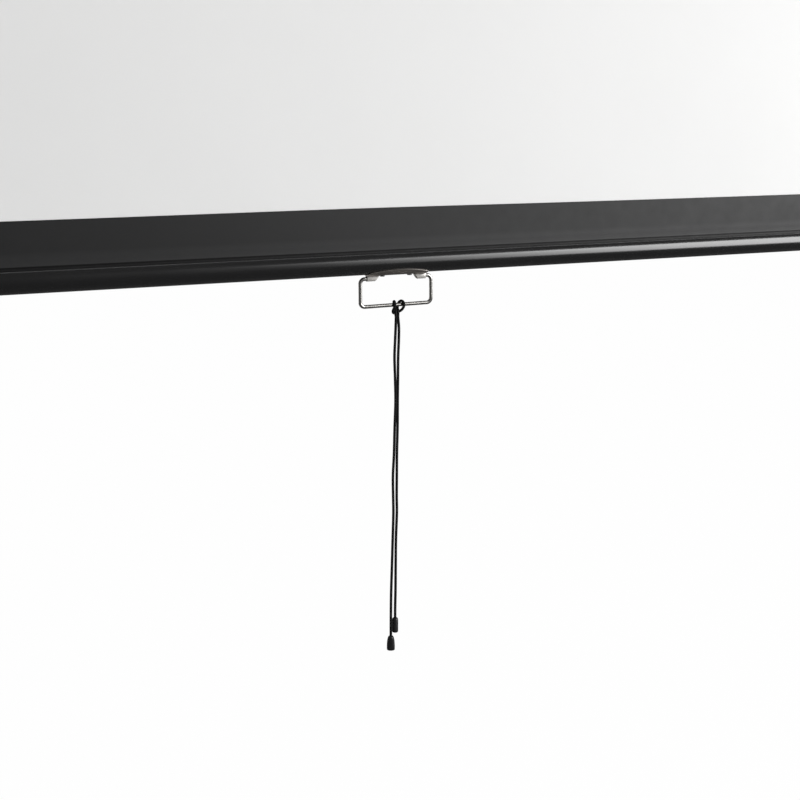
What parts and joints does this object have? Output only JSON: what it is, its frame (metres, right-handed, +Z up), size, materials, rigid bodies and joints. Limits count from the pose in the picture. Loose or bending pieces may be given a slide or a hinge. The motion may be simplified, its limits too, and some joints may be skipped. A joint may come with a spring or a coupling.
{
  "type": "wall projection screen",
  "caption": "Pull-down wall projection screen: black roller case, white matt fabric with black borders, round bottom bar, wire bail handle and pull cord.",
  "frame": {"origin": "middle of the case's flat back face, level with the roller's axis, on the wall plane", "axes": "+X along the width, -Y out of the front towards the viewer, +Z up"},
  "size_m": [1.8032, 0.068, 1.5682],
  "materials": {
    "case_paint": "satin black powder coat",
    "cap_plastic": "matt black moulded plastic",
    "bracket_paint": "satin black paint on steel sheet",
    "bar_paint": "satin black paint",
    "projection_fabric": "matt white coated cloth with black borders",
    "border_fabric": "matt black coated cloth",
    "plated_steel": "bright nickel plate",
    "spring_steel": "oiled spring steel",
    "zinc_steel": "zinc plated",
    "roller_aluminium": "mill finish",
    "nylon": "natural nylon",
    "cord": "black braided cord",
    "cord_plastic": "black moulded plastic"
  },
  "bodies": {
    "case": {"case_shell": "case_paint", "end_cap_left": "cap_plastic", "end_cap_right": "cap_plastic", "wall_bracket_left": "bracket_paint", "wall_bracket_right": "bracket_paint", "screen_fabric": "projection_fabric", "case_screw_left_top": "zinc_steel", "case_screw_left_bottom": "zinc_steel", "case_screw_right_top": "zinc_steel", "case_screw_right_bottom": "zinc_steel", "bracket_screw_left_upper": "zinc_steel", "bracket_screw_left_lower": "zinc_steel", "bracket_screw_right_upper": "zinc_steel", "bracket_screw_right_lower": "zinc_steel", "idler_bush": "nylon", "ratchet_wheel": "spring_steel", "spring_rod": "spring_steel", "torsion_spring": "spring_steel", "spear_socket": "zinc_steel"},
    "roller": {"roller_tube": "roller_aluminium", "roller_spline": "nylon", "wound_fabric": "projection_fabric", "ratchet_head": "nylon", "idler_plug": "nylon", "idler_pin": "zinc_steel", "pawl_pin_upper": "zinc_steel", "pawl_pin_lower": "zinc_steel", "spring_anchor": "nylon"},
    "pawl_upper_body": {"pawl_upper": "spring_steel"},
    "pawl_lower_body": {"pawl_lower": "spring_steel"},
    "bar": {"bottom_bar": "bar_paint", "bar_cap_left": "cap_plastic", "bar_cap_right": "cap_plastic", "hem_spline": "nylon", "border_strip": "border_fabric", "handle_saddle": "plated_steel", "saddle_screw_left": "zinc_steel", "saddle_screw_right": "zinc_steel"},
    "bail": {"handle_bail": "plated_steel"},
    "cord": {"cord_hitch": "cord", "cord_strand_long": "cord", "cord_strand_short": "cord", "cord_end_long": "cord_plastic", "cord_end_short": "cord_plastic"}
  },
  "joints": [
    {"name": "screen_travel", "type": "slide", "parent": "case", "child": "bar", "axis": [0, 0, 1], "range_m": [0, 1.05], "deforming": ["screen_fabric"]},
    {"name": "roller_spin", "type": "hinge", "parent": "case", "child": "roller", "pos_m": [0, -0.03, 0], "axis": [-1, 0, 0], "range_deg": [0, 2880]},
    {"name": "pawl_upper_swing", "type": "hinge", "parent": "roller", "child": "pawl_upper_body", "pos_m": [0, -0.03, 0.013], "axis": [1, 0, 0], "range_deg": [0, 18]},
    {"name": "pawl_lower_swing", "type": "hinge", "parent": "roller", "child": "pawl_lower_body", "pos_m": [0, -0.03, -0.013], "axis": [1, 0, 0], "range_deg": [0, 18]},
    {"name": "bail_swing", "type": "hinge", "parent": "bar", "child": "bail", "pos_m": [0, -0.0512, -1.114], "axis": [1, 0, 0], "range_deg": [-115, 115]},
    {"name": "cord_swing", "type": "hinge", "parent": "bail", "child": "cord", "pos_m": [0, -0.0512, -1.1438], "axis": [-1, 0, 0], "range_deg": [-115, 115]}
  ],
  "couplings": [
    {"joint": "roller_spin", "follows": "screen_travel", "rad_per_m": 47.872}
  ]
}
